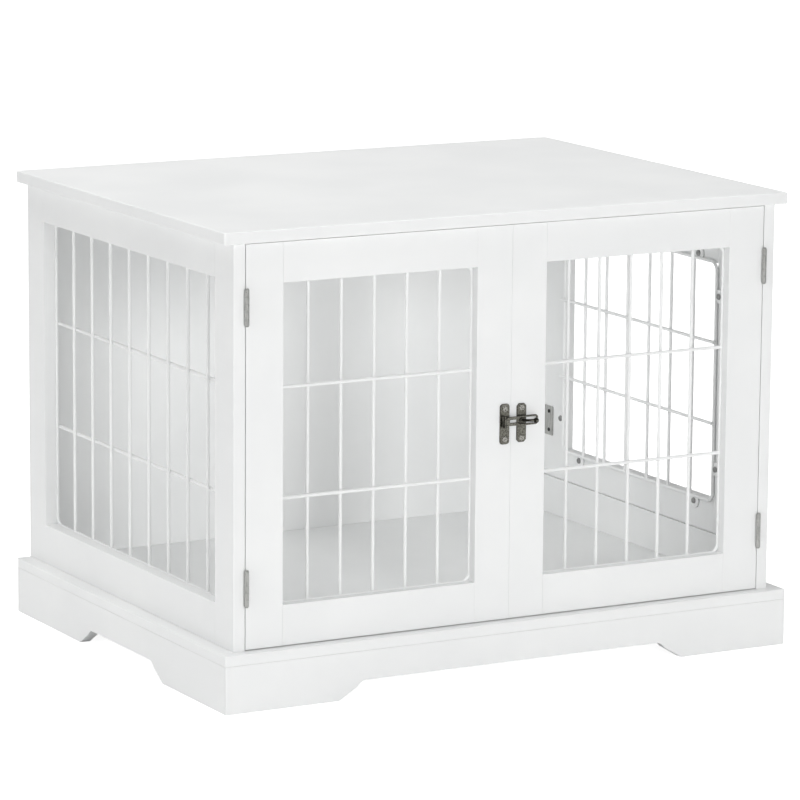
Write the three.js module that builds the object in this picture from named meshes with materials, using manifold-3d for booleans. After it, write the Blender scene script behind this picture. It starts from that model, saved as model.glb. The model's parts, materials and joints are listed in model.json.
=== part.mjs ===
// A dog crate that doubles as an end table: a board top on framed sides, a solid back and a plinth with
// bracket feet, two front doors and one side door with welded wire grilles, butt hinges with wrapped door
// leaves, and a swing-bar latch on each doorway. Millimetres, +Z up, the front faces -Y.

import * as THREE from 'three';
import { mergeVertices } from 'three/addons/utils/BufferGeometryUtils.js';
import Module from 'manifold-3d';

const wasm = await Module();
wasm.setup();

// ---- driving dimensions -------------------------------------------------------------------------------

const seam = 0.1; // glue line between boards that meet

const topWidth = 800;
const topDepth = 608;
const topThickness = 15;
const topCornerRadius = 3;
const topEase = 1.5;
const overallHeight = 588;

const topSideOverhang = 15.5;
const topFrontOverhang = 7;
const topRearOverhang = 2;
const sideThickness = 15.7;
const backThickness = 15;
const edgeEase = 0.5; // chamfer along the faces of every board

const plinthHeight = 73;
const plinthBoardThickness = 13;
const plinthSideProjection = 18.5;
const plinthFrontProjection = 16;
const skirtThickness = 15;
const archHeight = 22.5;
const archShoulder = 15; // height where the foot's slope turns into its curve
const archSlope = 25; // run of the slope
const archCurve = 13; // run of the curve
const frontFootLength = 156;
const sideFrontFootLength = 175;
const sideRearFootLength = 195;
const cornerBlockSize = 32;
const cornerBlockHeight = 45;

const sideStileWidth = 50;
const sideTopRailWidth = 47;
const sideBottomRailWidth = 52;

const doorThickness = 13;
const doorHingeStileWidth = 49.9;
const doorLatchStileWidth = 48.4;
const doorTopRailWidth = 49.6;
const doorBottomRailWidth = 50;
const doorMeetingGap = 1.6;
const doorTopGap = 1.5;
const doorBottomGap = 2;
const hingeGap = 1.6; // between a door's hinge edge and its frame

const sideDoorStileWidth = 58;
const sideDoorRailWidth = 42;
const sideDoorGap = 1.8;

const wireDiameter = 4.5;
const weldDepth = 0.6;
const wireSides = 6;
const wireEnd = 1; // how far a crossing wire runs past the perimeter wire
const grilleCornerRadius = 12;
const eyeletDiameter = 19;
const eyeletHole = 5;
const eyeletThickness = 2.5;
const eyeletOffset = 6.5; // from the perimeter wire out to the eyelet's hole
const eyeletFromCorner = 44;
const rungHeight = 323; // middle of a grille's two rungs above the floor
const rungPitch = 137;
const sideDoorRungPitch = 107;
const grilleMargin = 1.3; // from the window's edge out to the perimeter wire
const doorPatternMargin = 3; // from the window's edge out to where the even pitch of the uprights is counted from

const hingeHeight = 43.5;
const hingeFromDoorEnd = 76; // from the door's top or bottom to the hinge's middle
const hingeBarrelRadius = 2.9;
const hingeBarrelStandoff = 3.2; // from the door's face out to the pin's axis
const hingeBoreRadius = 1.45;
const hingePinRadius = 1.25;
const hingePinHeadRadius = 2.3;
const hingePinHead = 1.2;
const hingeLeafThickness = 0.55;
const hingeLeafClearance = 0.1;
const hingeWrapLength = 27;
const hingeWrapHeight = 41;
const hingeWrapThickness = 1.1;
const knuckles = 5;
const knuckleGap = 0.3;
const roundSides = 10;

const latchHeight = 322.5; // middle of the plates above the floor
const latchPlateWidth = 13.5;
const barPlateLength = 51;
const postPlateLength = 49;
const latchPlateThickness = 1.5;
const latchPlateCorner = 4;
const latchBarRise = 3.5; // the bar lies this far above the plates' middle
const barPlateCentre = 9.25; // from the middle of the gap to each plate's middle
const postPlateCentre = 14.75;
const latchPivot = 11.5; // from the middle of the gap to the bar's pin
const latchPivotStandoff = 4.7;
const latchBarrelRadius = 2.6;
const latchPinRadius = 1.2;
const latchPinClearance = 0.2;
const barKnuckleHeight = 8;
const plateKnuckleHeight = 3;
const barThickness = 2.2;
const barNeckHalf = 5.7; // half the bar's height between its pin and its loop
const barLoopHalf = 6.2; // half the bar's height round the ball
const barShoulder = 3.2; // from the pin to where the bar may be wider than its knuckle
const slotNeckHalf = 1.9;
const slotLoopHalf = 4.1;
const slotStart = -4.5; // these run from the middle of the gap
const slotWidens = 5.5;
const slotWide = 11;
const slotEnd = 33.9;
const barRim = 2.1; // strap left past the slot's end
const ballRadius = 3.4;
const ballStandoff = 12.4;
const ballReach = 29.3; // from the middle of the gap to the ball
const postRadius = 1.6;
const postBossRadius = 3;
const postBossHeight = 3.4;
const postElbow = 5.4; // stand-off where the post turns towards its ball

// ---- levels worked out from them ----------------------------------------------------------------------

const halfTop = topWidth / 2;
const topUnderside = overallHeight - topThickness;
const bodyFront = -topDepth / 2 + topFrontOverhang;
const bodyRear = topDepth / 2 - topRearOverhang;
const halfBody = topWidth / 2 - topSideOverhang;
const innerX = halfBody - sideThickness;
const halfPlinth = halfBody + plinthSideProjection;
const plinthFront = bodyFront - plinthFrontProjection;
const skirtTop = plinthHeight - plinthBoardThickness;

const sideWindow = {
  low: plinthHeight + sideBottomRailWidth,
  high: topUnderside - sideTopRailWidth,
  front: bodyFront + sideStileWidth,
  rear: bodyRear - sideStileWidth,
};

const door = {
  low: plinthHeight + doorBottomGap,
  high: topUnderside - doorTopGap,
  hingeEdge: innerX - hingeGap,
  meetingEdge: doorMeetingGap / 2,
};

const sideDoor = {
  low: sideWindow.low + sideDoorGap,
  high: sideWindow.high - sideDoorGap,
  front: sideWindow.front + sideDoorGap,
  rear: sideWindow.rear - hingeGap,
};

// ---- materials ----------------------------------------------------------------------------------------

const whiteBoard = new THREE.MeshStandardMaterial({ color: 0xeef0ef, roughness: 0.45, metalness: 0 });
const whiteWire = new THREE.MeshStandardMaterial({ color: 0xf2f3f3, roughness: 0.35, metalness: 0.1 });
const hingeMetal = new THREE.MeshStandardMaterial({ color: 0x8a8a84, roughness: 0.35, metalness: 0.9 });
const latchMetal = new THREE.MeshStandardMaterial({ color: 0x5b574d, roughness: 0.4, metalness: 0.9 });

// ---- solids -------------------------------------------------------------------------------------------

function toSolid(geometry) {
  const bare = geometry.clone();
  bare.deleteAttribute('normal');
  bare.deleteAttribute('uv');
  const merged = mergeVertices(bare, 1e-4);
  return new wasm.Manifold(new wasm.Mesh({
    numProp: 3,
    vertProperties: new Float32Array(merged.attributes.position.array),
    triVerts: new Uint32Array(merged.index.array),
  }));
}

function toGeometry(solid) {
  const mesh = solid.getMesh();
  const geometry = new THREE.BufferGeometry();
  geometry.setAttribute('position', new THREE.BufferAttribute(new Float32Array(mesh.vertProperties), 3));
  geometry.setIndex(new THREE.BufferAttribute(new Uint32Array(mesh.triVerts), 1));
  geometry.computeVertexNormals();
  return geometry;
}

function join(...geometries) {
  return toGeometry(geometries.map(toSolid).reduce((whole, piece) => whole.add(piece)));
}

function cut(geometry, ...tools) {
  return toGeometry(tools.map(toSolid).reduce((whole, tool) => whole.subtract(tool), toSolid(geometry)));
}

function addMesh(parent, name, geometry, material, position = [0, 0, 0]) {
  const mesh = new THREE.Mesh(geometry, material.clone());
  mesh.name = name;
  mesh.position.set(...position);
  parent.add(mesh);
  return mesh;
}

// A box between two corners, for pieces of sheet metal and for cutters.
function block([x0, y0, z0], [x1, y1, z1]) {
  const geometry = new THREE.BoxGeometry(Math.abs(x1 - x0), Math.abs(y1 - y0), Math.abs(z1 - z0));
  return geometry.translate((x0 + x1) / 2, (y0 + y1) / 2, (z0 + z1) / 2);
}

// A wire of even diameter from one point along X or Z, with flat sides towards Y.
function rod(start, length, diameter, axis, sides = wireSides) {
  const radius = diameter / 2 / Math.cos(Math.PI / sides);
  const geometry = new THREE.CylinderGeometry(radius, radius, length, sides);
  geometry.rotateY(Math.PI / sides + (axis === 'x' ? Math.PI / 2 : 0));
  geometry.translate(0, length / 2, 0);
  if (axis === 'z') geometry.rotateX(Math.PI / 2);
  if (axis === 'x') geometry.rotateZ(-Math.PI / 2);
  return geometry.translate(...start);
}

function circlePoints(radius, sides) {
  return Array.from({ length: sides }, (_, i) => {
    const turn = ((i + 0.5) * 2 * Math.PI) / sides;
    return new THREE.Vector2(radius * Math.cos(turn), radius * Math.sin(turn));
  });
}

// A ring about Z, and a solid disc when the bore is 0.
function ring(boreRadius, outerRadius, low, high, sides = roundSides) {
  const outline = new THREE.Shape(circlePoints(outerRadius, sides));
  if (boreRadius > 0) outline.holes.push(new THREE.Path(circlePoints(boreRadius, sides)));
  const geometry = new THREE.ExtrudeGeometry(outline, { depth: high - low, bevelEnabled: false });
  return geometry.translate(0, 0, low);
}

function roundedRectangle(Kind, width, height, radius) {
  const outline = new Kind();
  const x = width / 2;
  const y = height / 2;
  outline.moveTo(-x + radius, -y);
  outline.lineTo(x - radius, -y);
  outline.absarc(x - radius, -y + radius, radius, -Math.PI / 2, 0, false);
  outline.lineTo(x, y - radius);
  outline.absarc(x - radius, y - radius, radius, 0, Math.PI / 2, false);
  outline.lineTo(-x + radius, y);
  outline.absarc(-x + radius, y - radius, radius, Math.PI / 2, Math.PI, false);
  outline.lineTo(-x, -y + radius);
  outline.absarc(-x + radius, -y + radius, radius, Math.PI, Math.PI * 1.5, false);
  return outline;
}

// ---- boards -------------------------------------------------------------------------------------------

// A board between two corners, thin along one axis, with the edges of its two faces eased.
function addBoard(parent, name, low, high, thin) {
  const size = { x: high[0] - low[0], y: high[1] - low[1], z: high[2] - low[2] };
  const across = { x: ['y', 'z'], y: ['x', 'z'], z: ['x', 'y'] }[thin];
  const halfU = size[across[0]] / 2 - edgeEase;
  const halfV = size[across[1]] / 2 - edgeEase;
  const outline = new THREE.Shape([
    new THREE.Vector2(-halfU, -halfV),
    new THREE.Vector2(halfU, -halfV),
    new THREE.Vector2(halfU, halfV),
    new THREE.Vector2(-halfU, halfV),
  ]);
  const geometry = new THREE.ExtrudeGeometry(outline, {
    depth: size[thin] - 2 * edgeEase,
    bevelThickness: edgeEase,
    bevelSize: edgeEase,
    bevelSegments: 1,
  });
  geometry.translate(0, 0, edgeEase - size[thin] / 2);
  if (thin === 'x') geometry.rotateX(Math.PI / 2).rotateZ(Math.PI / 2);
  if (thin === 'y') geometry.rotateX(Math.PI / 2);
  const middle = low.map((value, axis) => (value + high[axis]) / 2);
  addMesh(parent, name, geometry, whiteBoard, middle);
}

function addTableTop(parent) {
  const width = topWidth - 2 * topEase;
  const depth = topDepth - 2 * topEase;
  const outline = roundedRectangle(THREE.Shape, width, depth, topCornerRadius);
  const geometry = new THREE.ExtrudeGeometry(outline, {
    depth: topThickness - 2 * topEase,
    bevelThickness: topEase,
    bevelSize: topEase,
    bevelSegments: 2,
    curveSegments: 2,
  });
  addMesh(parent, 'table_top', geometry, whiteBoard, [0, 0, topUnderside + seam + topEase]);
}

// ---- plinth -------------------------------------------------------------------------------------------

// A skirt's outline: square ends, a foot at each end and a low arch between, sloped and then curved in.
function skirtOutline(length, footAtStart, footAtEnd) {
  const top = skirtTop - seam;
  const outline = new THREE.Shape();
  const archEnd = length - footAtEnd;
  outline.moveTo(0, 0);
  outline.lineTo(footAtStart, 0);
  outline.lineTo(footAtStart + archSlope, archShoulder);
  outline.quadraticCurveTo(
    footAtStart + archSlope + archCurve * 0.45, archHeight,
    footAtStart + archSlope + archCurve, archHeight,
  );
  outline.lineTo(archEnd - archSlope - archCurve, archHeight);
  outline.quadraticCurveTo(
    archEnd - archSlope - archCurve * 0.45, archHeight,
    archEnd - archSlope, archShoulder,
  );
  outline.lineTo(archEnd, 0);
  outline.lineTo(length, 0);
  outline.lineTo(length, top);
  outline.lineTo(0, top);
  return outline;
}

// The skirt stands with its outer face on Y = 0 and its inner face at Y = skirtThickness.
function skirt(length, footAtStart, footAtEnd, mitreStart, mitreEnd) {
  const outline = skirtOutline(length, footAtStart, footAtEnd);
  const geometry = new THREE.ExtrudeGeometry(outline, {
    depth: skirtThickness, bevelEnabled: false, curveSegments: 5,
  });
  geometry.rotateX(Math.PI / 2).translate(0, skirtThickness, 0);
  const places = geometry.attributes.position;
  for (let i = 0; i < places.count; i += 1) {
    const inward = places.getY(i);
    if (mitreStart && places.getX(i) < 1e-3) places.setX(i, inward + seam);
    if (mitreEnd && places.getX(i) > length - 1e-3) places.setX(i, length - inward - seam);
  }
  return geometry;
}

function addPlinth(parent) {
  const depth = bodyRear - plinthFront;
  addBoard(parent, 'plinth_board', [-halfPlinth, plinthFront, skirtTop], [halfPlinth, bodyRear, plinthHeight], 'z');

  const front = skirt(halfPlinth * 2, frontFootLength, frontFootLength, true, true);
  addMesh(parent, 'front_skirt', front, whiteBoard, [-halfPlinth, plinthFront, 0]);

  const rear = skirt(halfPlinth * 2, frontFootLength, frontFootLength, false, false);
  addMesh(parent, 'rear_skirt', rear, whiteBoard, [halfPlinth, bodyRear, 0]).rotation.z = Math.PI;

  const sideLength = depth - skirtThickness - seam;
  const rearFoot = sideRearFootLength - skirtThickness - seam;
  const left = skirt(sideLength, rearFoot, sideFrontFootLength, false, true);
  addMesh(parent, 'left_skirt', left, whiteBoard, [-halfPlinth, plinthFront + sideLength, 0])
    .rotation.z = -Math.PI / 2;
  const right = skirt(sideLength, sideFrontFootLength, rearFoot, true, false);
  addMesh(parent, 'right_skirt', right, whiteBoard, [halfPlinth, plinthFront, 0]).rotation.z = Math.PI / 2;

  const blockX = halfPlinth - skirtThickness - seam;
  const blockFront = plinthFront + skirtThickness + seam;
  const blockRear = bodyRear - skirtThickness - seam;
  const blockTop = skirtTop - seam;
  for (const [side, sign] of [['left', -1], ['right', 1]]) {
    for (const [end, y, inward] of [['front', blockFront, 1], ['rear', blockRear, -1]]) {
      const outline = new THREE.Shape([
        new THREE.Vector2(0, 0),
        new THREE.Vector2(-sign * cornerBlockSize, 0),
        new THREE.Vector2(0, inward * cornerBlockSize),
      ]);
      const wedge = new THREE.ExtrudeGeometry(outline, { depth: cornerBlockHeight, bevelEnabled: false });
      addMesh(parent, `plinth_corner_block_${end}_${side}`, wedge, whiteBoard,
        [sign * blockX, y, blockTop - cornerBlockHeight]);
    }
  }
}

// ---- frames of stiles and rails -----------------------------------------------------------------------

// A rectangular frame standing in the plane across the thin axis: two stiles and two rails between them.
// "along" runs from the start stile to the end stile.
function addFrame(parent, names, thin, thinLow, thinHigh, along, up, widths) {
  const corner = (across, height, side) => (thin === 'x'
    ? [side, across, height]
    : [across, side, height]);
  const railStart = along[0] + widths.start + seam;
  const railEnd = along[1] - widths.end - seam;
  const spans = {
    start: [along[0], along[0] + widths.start, up[0], up[1]],
    end: [along[1] - widths.end, along[1], up[0], up[1]],
    top: [railStart, railEnd, up[1] - widths.top, up[1]],
    bottom: [railStart, railEnd, up[0], up[0] + widths.bottom],
  };
  for (const [key, [a0, a1, z0, z1]] of Object.entries(spans)) {
    addBoard(parent, names[key], corner(a0, z0, thinLow), corner(a1, z1, thinHigh), thin);
  }
}

function addSides(parent) {
  const widths = {
    start: sideStileWidth, end: sideStileWidth,
    top: sideTopRailWidth - seam, bottom: sideBottomRailWidth - seam,
  };
  for (const [side, low, high] of [['left', -halfBody, -innerX], ['right', innerX, halfBody]]) {
    addFrame(parent, {
      start: `${side}_front_stile`,
      end: `${side}_rear_stile`,
      top: `${side}_top_rail`,
      bottom: `${side}_bottom_rail`,
    }, 'x', low, high, [bodyFront, bodyRear], [plinthHeight + seam, topUnderside], widths);
  }
  addBoard(parent, 'rear_panel',
    [-innerX + seam, bodyRear - backThickness, plinthHeight + seam],
    [innerX - seam, bodyRear, topUnderside], 'y');
}

// ---- wire grilles -------------------------------------------------------------------------------------

// A welded grille in the XZ plane round the middle of its window, inside the frame whose inner face is
// Y = 0. The perimeter wire is bent round the window; on a door the rungs are welded in its plane and the
// uprights behind them, in the sides it is the other way round. Eyelets outside it take the screws.
function grille({ width, height, patternMargin, uprights, rungs, rungRise, rungsInFront }) {
  const halfWidth = width / 2 + grilleMargin;
  const halfHeight = height / 2 + grilleMargin;
  const pitch = (width + 2 * patternMargin) / (uprights + 1);
  const frontY = seam + wireDiameter / 2;
  const backY = frontY + wireDiameter - weldDepth;

  const ease = wireDiameter * 0.29; // makes the bent wire's section an even octagon
  const halfWire = wireDiameter / 2 - ease;
  const outline = roundedRectangle(THREE.Shape,
    2 * (halfWidth + halfWire), 2 * (halfHeight + halfWire), grilleCornerRadius + halfWire);
  outline.holes.push(roundedRectangle(THREE.Path,
    2 * (halfWidth - halfWire), 2 * (halfHeight - halfWire), grilleCornerRadius - halfWire));
  const perimeter = new THREE.ExtrudeGeometry(outline, {
    depth: wireDiameter - 2 * ease,
    bevelThickness: ease,
    bevelSize: ease,
    bevelSegments: 1,
    curveSegments: 3,
  });
  perimeter.rotateX(Math.PI / 2).translate(0, seam + wireDiameter - ease, 0);

  const pieces = [perimeter];
  const past = wireDiameter / 2 + wireEnd;
  const rungReach = rungsInFront ? halfWidth : halfWidth + past;
  const uprightReach = rungsInFront ? halfHeight + past : halfHeight;
  const rungY = rungsInFront ? frontY : backY;
  const uprightY = rungsInFront ? backY : frontY;
  for (const side of [-1, 1]) {
    const z = rungRise + side * rungs / 2;
    pieces.push(rod([-rungReach, rungY, z], 2 * rungReach, wireDiameter, 'x'));
  }
  for (let i = 0; i < uprights; i += 1) {
    const x = (i - (uprights - 1) / 2) * pitch;
    pieces.push(rod([x, uprightY, -uprightReach], 2 * uprightReach, wireDiameter, 'z'));
  }
  for (const sx of [-1, 1]) {
    for (const sz of [-1, 1]) {
      for (const [x, z] of [
        [sx * (halfWidth + eyeletOffset), sz * (halfHeight - eyeletFromCorner)],
        [sx * (halfWidth - eyeletFromCorner), sz * (halfHeight + eyeletOffset)],
      ]) {
        const eyelet = ring(eyeletHole / 2, eyeletDiameter / 2, 0, eyeletThickness);
        pieces.push(eyelet.rotateX(-Math.PI / 2).translate(x, seam, z));
      }
    }
  }
  return join(...pieces);
}

function addSideGrille(parent) {
  const middle = (sideWindow.low + sideWindow.high) / 2;
  const geometry = grille({
    width: sideWindow.rear - sideWindow.front,
    height: sideWindow.high - sideWindow.low,
    patternMargin: grilleMargin,
    uprights: 8,
    rungs: rungPitch,
    rungRise: rungHeight - middle,
    rungsInFront: false,
  });
  addMesh(parent, 'left_grille', geometry, whiteWire,
    [-innerX, (sideWindow.front + sideWindow.rear) / 2, middle]).rotation.z = -Math.PI / 2;
}

// ---- hinges -------------------------------------------------------------------------------------------

// A hinge is drawn round the middle of the gap between door and frame. The door lies towards -X, the frame
// towards +X, and Y = 0 is the door's outer face. The pin's axis stands in front of that face.
const knucklePitch = (hingeHeight + knuckleGap) / knuckles;

function hingeKnuckle(index) {
  const low = -hingeHeight / 2 + index * knucklePitch;
  const high = low + knucklePitch - knuckleGap;
  return { low, high, geometry: ring(hingeBoreRadius, hingeBarrelRadius, low, high)
    .translate(0, -hingeBarrelStandoff, 0) };
}

function hingeLeaf(side, ownKnuckles, depth) {
  const near = side * (hingeGap / 2 - hingeLeafClearance - hingeLeafThickness);
  const far = side * (hingeGap / 2 - hingeLeafClearance);
  const barrelBack = hingeBarrelRadius - hingeBarrelStandoff;
  const pieces = [block([near, barrelBack + 0.3, -hingeHeight / 2], [far, depth, hingeHeight / 2])];
  for (const index of ownKnuckles) {
    const { low, high, geometry } = hingeKnuckle(index);
    pieces.push(geometry);
    pieces.push(block([near, barrelBack - 1.1, low], [far, barrelBack + 1, high]));
  }
  return pieces;
}

function addHinge(parent, name, position, turn) {
  const hinge = new THREE.Group();
  hinge.position.set(...position);
  hinge.rotation.set(...turn);
  parent.add(hinge);

  addMesh(hinge, `${name}_frame_leaf`, join(...hingeLeaf(1, [0, 2, 4], sideThickness - 2)), hingeMetal);

  const wrapFace = doorThickness + hingeLeafClearance;
  const wrapBack = wrapFace + hingeWrapThickness;
  const inner = -(hingeGap / 2 - hingeLeafClearance - hingeLeafThickness);
  const wrap = block([inner, wrapFace, -hingeWrapHeight / 2], [-hingeWrapLength, wrapBack, hingeWrapHeight / 2]);
  addMesh(hinge, `${name}_door_leaf`, join(...hingeLeaf(-1, [1, 3], wrapBack), wrap), hingeMetal);

  const pinHalf = hingeHeight / 2 + knuckleGap;
  const pin = join(
    ring(0, hingePinRadius, -pinHalf - 0.2, pinHalf + 0.2),
    ring(0, hingePinHeadRadius, pinHalf, pinHalf + hingePinHead),
    ring(0, hingePinHeadRadius, -pinHalf - hingePinHead, -pinHalf),
  );
  addMesh(hinge, `${name}_pin`, pin, hingeMetal, [0, -hingeBarrelStandoff, 0]);
}

// ---- doors --------------------------------------------------------------------------------------------

function addFrontDoor(parent, side, sign) {
  const frontDoor = new THREE.Group();
  parent.add(frontDoor);
  const edges = sign > 0 ? [door.meetingEdge, door.hingeEdge] : [-door.hingeEdge, -door.meetingEdge];
  const hingeStile = `${side}_door_hinge_stile`;
  const latchStile = `${side}_door_latch_stile`;
  addFrame(frontDoor, {
    start: sign > 0 ? latchStile : hingeStile,
    end: sign > 0 ? hingeStile : latchStile,
    top: `${side}_door_top_rail`,
    bottom: `${side}_door_bottom_rail`,
  }, 'y', bodyFront, bodyFront + doorThickness, edges, [door.low, door.high], {
    start: sign > 0 ? doorLatchStileWidth : doorHingeStileWidth,
    end: sign > 0 ? doorHingeStileWidth : doorLatchStileWidth,
    top: doorTopRailWidth,
    bottom: doorBottomRailWidth,
  });

  const windowNear = door.meetingEdge + doorLatchStileWidth;
  const windowFar = door.hingeEdge - doorHingeStileWidth;
  const windowLow = door.low + doorBottomRailWidth;
  const windowHigh = door.high - doorTopRailWidth;
  const middle = (windowLow + windowHigh) / 2;
  const geometry = grille({
    width: windowFar - windowNear,
    height: windowHigh - windowLow,
    patternMargin: doorPatternMargin,
    uprights: 5,
    rungs: rungPitch,
    rungRise: rungHeight - middle,
    rungsInFront: true,
  });
  addMesh(frontDoor, `${side}_door_grille`, geometry, whiteWire,
    [sign * (windowNear + windowFar) / 2, bodyFront + doorThickness, middle]);

  const turn = sign > 0 ? [0, 0, 0] : [0, Math.PI, 0];
  const hingeX = sign * (door.hingeEdge + hingeGap / 2);
  addHinge(frontDoor, `${side}_door_upper_hinge`, [hingeX, bodyFront, door.high - hingeFromDoorEnd], turn);
  addHinge(frontDoor, `${side}_door_lower_hinge`, [hingeX, bodyFront, door.low + hingeFromDoorEnd], turn);
}

function addSideDoor(parent) {
  const group = new THREE.Group();
  parent.add(group);
  addFrame(group, {
    start: 'side_door_latch_stile',
    end: 'side_door_hinge_stile',
    top: 'side_door_top_rail',
    bottom: 'side_door_bottom_rail',
  }, 'x', halfBody - doorThickness, halfBody, [sideDoor.front, sideDoor.rear], [sideDoor.low, sideDoor.high], {
    start: sideDoorStileWidth, end: sideDoorStileWidth, top: sideDoorRailWidth, bottom: sideDoorRailWidth,
  });

  const middle = (sideDoor.low + sideDoor.high) / 2;
  const geometry = grille({
    width: sideDoor.rear - sideDoor.front - 2 * sideDoorStileWidth,
    height: sideDoor.high - sideDoor.low - 2 * sideDoorRailWidth,
    patternMargin: grilleMargin,
    uprights: 6,
    rungs: sideDoorRungPitch,
    rungRise: 0,
    rungsInFront: false,
  });
  addMesh(group, 'side_door_grille', geometry, whiteWire,
    [halfBody - doorThickness, (sideDoor.front + sideDoor.rear) / 2, middle]).rotation.z = Math.PI / 2;

  const hingeY = sideDoor.rear + hingeGap / 2;
  const turn = [0, 0, Math.PI / 2];
  addHinge(group, 'side_door_upper_hinge', [halfBody, hingeY, sideDoor.high - hingeFromDoorEnd], turn);
  addHinge(group, 'side_door_lower_hinge', [halfBody, hingeY, sideDoor.low + hingeFromDoorEnd], turn);
}

// ---- swing-bar latches --------------------------------------------------------------------------------

// A latch is drawn round the middle of the gap it closes, Y = 0 being the boards' outer faces. The bar's
// plate lies towards -X and the ball's plate towards +X.

// Flat outline pieces stand in the XZ plane between two stand-offs from the boards' faces.
function standing(outline, low, high, curveSegments = 4) {
  const geometry = new THREE.ExtrudeGeometry(outline, { depth: high - low, bevelEnabled: false, curveSegments });
  return geometry.rotateX(Math.PI / 2).translate(0, -low, 0);
}

function barPlate() {
  const plate = standing(
    roundedRectangle(THREE.Shape, latchPlateWidth, barPlateLength, latchPlateCorner),
    seam, latchPlateThickness, 3,
  ).translate(-barPlateCentre, 0, 0);
  const pieces = [plate];
  const inner = barKnuckleHeight / 2 + knuckleGap;
  const outer = inner + plateKnuckleHeight;
  for (const sign of [-1, 1]) {
    const low = latchBarRise + (sign > 0 ? inner : -outer);
    const high = low + plateKnuckleHeight;
    pieces.push(ring(0, latchBarrelRadius, low, high).translate(-latchPivot, -latchPivotStandoff, 0));
    pieces.push(block(
      [-latchPivot - latchBarrelRadius * 0.8, -latchPivotStandoff, low],
      [-latchPivot + latchBarrelRadius * 0.8, -latchPlateThickness / 2, high],
    ));
  }
  pieces.push(ring(0, latchPinRadius, latchBarRise - outer + 1, latchBarRise + outer - 1)
    .translate(-latchPivot, -latchPivotStandoff, 0));
  return join(...pieces);
}

function swingBar() {
  const end = slotEnd + barRim;
  const shoulder = -latchPivot + barShoulder;
  const neck = barKnuckleHeight / 2;
  const round = 3.5;
  const outline = new THREE.Shape();
  outline.moveTo(-latchPivot, -neck);
  outline.lineTo(shoulder, -neck);
  outline.lineTo(shoulder + 1.5, -barNeckHalf);
  outline.lineTo(slotWidens, -barNeckHalf);
  outline.lineTo(slotWide, -barLoopHalf);
  outline.lineTo(end - round, -barLoopHalf);
  outline.quadraticCurveTo(end, -barLoopHalf, end, -barLoopHalf + round);
  outline.lineTo(end, barLoopHalf - round);
  outline.quadraticCurveTo(end, barLoopHalf, end - round, barLoopHalf);
  outline.lineTo(slotWide, barLoopHalf);
  outline.lineTo(slotWidens, barNeckHalf);
  outline.lineTo(shoulder + 1.5, barNeckHalf);
  outline.lineTo(shoulder, neck);
  outline.lineTo(-latchPivot, neck);
  const slot = new THREE.Path([
    new THREE.Vector2(slotStart, -slotNeckHalf),
    new THREE.Vector2(slotWidens, -slotNeckHalf),
    new THREE.Vector2(slotWide, -slotLoopHalf),
    new THREE.Vector2(slotEnd - 1, -slotLoopHalf),
    new THREE.Vector2(slotEnd, -slotLoopHalf + 1),
    new THREE.Vector2(slotEnd, slotLoopHalf - 1),
    new THREE.Vector2(slotEnd - 1, slotLoopHalf),
    new THREE.Vector2(slotWide, slotLoopHalf),
    new THREE.Vector2(slotWidens, slotNeckHalf),
    new THREE.Vector2(slotStart, slotNeckHalf),
  ]);
  outline.holes.push(slot);
  const strap = standing(outline, latchPivotStandoff - barThickness / 2, latchPivotStandoff + barThickness / 2)
    .translate(0, 0, latchBarRise);
  const low = latchBarRise - barKnuckleHeight / 2;
  const high = latchBarRise + barKnuckleHeight / 2;
  const knuckle = ring(0, latchBarrelRadius, low, high).translate(-latchPivot, -latchPivotStandoff, 0);
  const bore = ring(0, latchPinRadius + latchPinClearance, low - 1, high + 1)
    .translate(-latchPivot, -latchPivotStandoff, 0);
  return cut(join(strap, knuckle), bore);
}

function ballPost() {
  const x = latchPlateWidth / 2;
  const z = postPlateLength / 2;
  const clip = latchPlateCorner * 0.8;
  const outline = new THREE.Shape([
    new THREE.Vector2(-x + clip, -z), new THREE.Vector2(x - clip, -z),
    new THREE.Vector2(x, -z + clip), new THREE.Vector2(x, z - clip),
    new THREE.Vector2(x - clip, z), new THREE.Vector2(-x + clip, z),
    new THREE.Vector2(-x, z - clip), new THREE.Vector2(-x, -z + clip),
  ]);
  const plate = standing(outline, seam, latchPlateThickness).translate(postPlateCentre, 0, 0);
  const boss = ring(0, postBossRadius, 0, postBossHeight - 0.5)
    .rotateX(Math.PI / 2).translate(postPlateCentre, -0.5, latchBarRise);
  const elbow = new THREE.Vector3(postPlateCentre, -postElbow, latchBarRise);
  const ball = new THREE.Vector3(ballReach, -ballStandoff, latchBarRise);
  const arm = new THREE.CylinderGeometry(postRadius, postRadius, elbow.distanceTo(ball), roundSides);
  arm.translate(0, elbow.distanceTo(ball) / 2, 0);
  arm.applyQuaternion(new THREE.Quaternion().setFromUnitVectors(
    new THREE.Vector3(0, 1, 0), ball.clone().sub(elbow).normalize(),
  ));
  arm.translate(elbow.x, elbow.y, elbow.z);
  const root = ring(0, postRadius, 0, postElbow - 0.5)
    .rotateX(Math.PI / 2).translate(postPlateCentre, -0.5, latchBarRise);
  const joint = new THREE.SphereGeometry(postRadius * 1.02, roundSides, 6).translate(elbow.x, elbow.y, elbow.z);
  const knob = new THREE.SphereGeometry(ballRadius, 12, 8).translate(ball.x, ball.y, ball.z);
  return join(plate, boss, root, joint, arm, knob);
}

function addLatch(parent, name, position, turn) {
  const latch = new THREE.Group();
  latch.position.set(...position);
  latch.rotation.z = turn;
  parent.add(latch);
  addMesh(latch, `${name}_bar_plate`, barPlate(), latchMetal);
  addMesh(latch, `${name}_swing_bar`, swingBar(), latchMetal);
  addMesh(latch, `${name}_ball_post`, ballPost(), latchMetal);
}

// ---- the whole crate ----------------------------------------------------------------------------------

const crate = new THREE.Group();
crate.name = 'crate_table';
// The plinth stands further out in front than the top does behind: this centres the crate on its depth.
crate.position.y = -(plinthFront + topDepth / 2) / 2;

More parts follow.
